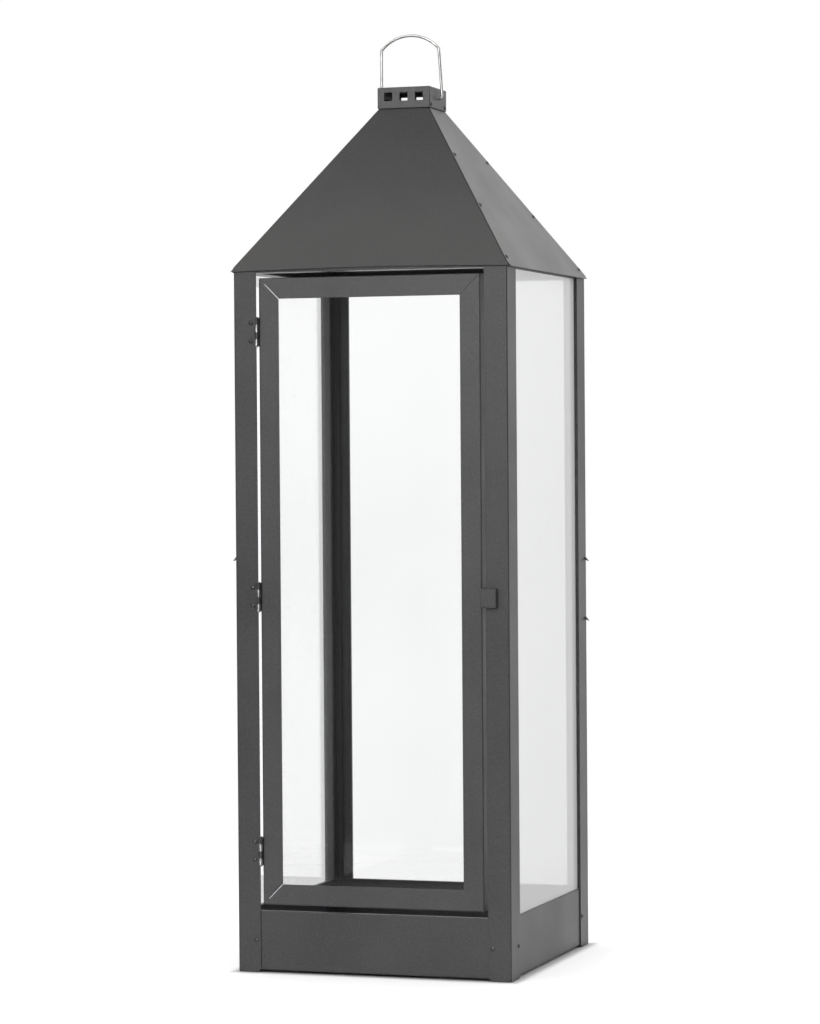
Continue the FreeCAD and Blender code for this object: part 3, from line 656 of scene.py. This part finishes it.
def makeSky():
    # white backdrop behind the lantern, a darker room with soft light on the camera's side
    world = bpy.data.worlds.new("whiteStudio")
    bpy.context.scene.world = world
    world.use_nodes = True
    tree = world.node_tree
    tree.nodes.clear()
    direction = addNode(tree, "ShaderNodeTexCoord").outputs["Generated"]
    parts = addNode(tree, "ShaderNodeSeparateXYZ")
    link(tree, direction, parts.inputs["Vector"])
    high = rampNode(tree, parts.outputs["Z"], -0.05, 0.08, studio["frontLow"], studio["frontHigh"])
    over = rampNode(tree, parts.outputs["Z"], 0.45, 0.80)
    front = mathNode(tree, "MULTIPLY", high, mathNode(tree, "SUBTRACT", 1.0, over))
    front = mathNode(tree, "ADD", front, mathNode(tree, "MULTIPLY", over, studio["overhead"]))
    back = rampNode(tree, parts.outputs["Y"], -0.1, 0.5)
    mirrored = mathNode(tree, "MULTIPLY", front, mathNode(tree, "SUBTRACT", 1.0, back))
    wall = rampNode(tree, parts.outputs["Z"], 0.08, 0.35, studio["behind"], studio["behindHigh"])
    rays = addNode(tree, "ShaderNodeLightPath")
    clean = mathNode(tree, "MULTIPLY", rays.outputs["Is Singular Ray"], studio["behindInGlass"])
    wall = mathNode(tree, "MAXIMUM", wall, clean)
    mirrored = mathNode(tree, "ADD", mirrored, mathNode(tree, "MULTIPLY", back, wall))
    towards = addNode(tree, "ShaderNodeVectorMath", operation="DOT_PRODUCT")
    link(tree, direction, towards.inputs[0])
    towards.inputs[1].default_value = Vector(studio["softBoxWay"]).normalized()
    inner, outer = (math.cos(math.radians(studio[key])) for key in ("softBoxInner", "softBoxOuter"))
    box = rampNode(tree, towards.outputs["Value"], outer, inner, 0.0, studio["softBox"])
    box = mathNode(tree, "MULTIPLY", box, mathNode(tree, "SUBTRACT", 1.0, rays.outputs["Is Singular Ray"]))
    mirrored = mathNode(tree, "ADD", mirrored, box)
    # seen in a surface, not straight through the glass
    bounced = mathNode(tree, "MINIMUM", rays.outputs["Glossy Depth"], 1.0)
    through = mathNode(tree, "MULTIPLY", rays.outputs["Is Transmission Ray"], studio["throughGlass"])
    seen = mathNode(tree, "MAXIMUM", rays.outputs["Is Camera Ray"], through)
    seen = mathNode(tree, "MULTIPLY", seen, mathNode(tree, "SUBTRACT", 1.0, bounced))
    gloss = mathNode(tree, "MULTIPLY", rays.outputs["Is Glossy Ray"], bounced)
    matt = mathNode(tree, "SUBTRACT", 1.0, mathNode(tree, "ADD", seen, gloss, clamp=True))
    level = mathNode(tree, "ADD", seen, mathNode(tree, "MULTIPLY", gloss, mirrored))
    level = mathNode(tree, "ADD", level, mathNode(tree, "MULTIPLY", matt, studio["matt"]))
    glow = addNode(tree, "ShaderNodeBackground", Color=(1, 1, 1, 1))
    link(tree, level, glow.inputs["Strength"])
    output = addNode(tree, "ShaderNodeOutputWorld")
    link(tree, glow.outputs["Background"], output.inputs["Surface"])


lamps = {
    "keyBox": {"place": (-1.3, -2.2, 2.0), "size": (0.7, 0.7), "power": 6.0},
}


def makeLamps():
    target = Vector((0, 0, 0.45))
    for name, look in lamps.items():
        light = bpy.data.lights.new(name, "AREA")
        light.shape = "RECTANGLE"
        light.size, light.size_y = look["size"]
        light.energy = look["power"]
        lamp = bpy.data.objects.new(name, light)
        lamp.location = look["place"]
        lamp.rotation_euler = (target - lamp.location).to_track_quat("-Z", "Y").to_euler()
        bpy.context.scene.collection.objects.link(lamp)


view = {
    "place": (1.17942, -3.604993, 0.540499),
    "turn": 18.198,        # degrees round the lantern, towards its latch side
    "tilt": 0.885,
    "roll": -0.416,
    "lens": 123.48,
}


def makeCamera():
    data = bpy.data.cameras.new("photoCamera")
    data.lens = view["lens"]
    data.sensor_width = 36.0
    data.clip_end = 50.0
    camera = bpy.data.objects.new("photoCamera", data)
    turn = Matrix.Rotation(math.radians(view["turn"]), 4, "Z")
    tilt = Matrix.Rotation(math.radians(90 - view["tilt"]), 4, "X")
    roll = Matrix.Rotation(math.radians(view["roll"]), 4, "Z")
    camera.matrix_world = Matrix.Translation(view["place"]) @ turn @ tilt @ roll
    bpy.context.scene.collection.objects.link(camera)
    bpy.context.scene.camera = camera


makeFloor()
makeSky()
makeLamps()
makeCamera()
bpy.context.scene.view_settings.view_transform = "Standard"
print("studio ready")
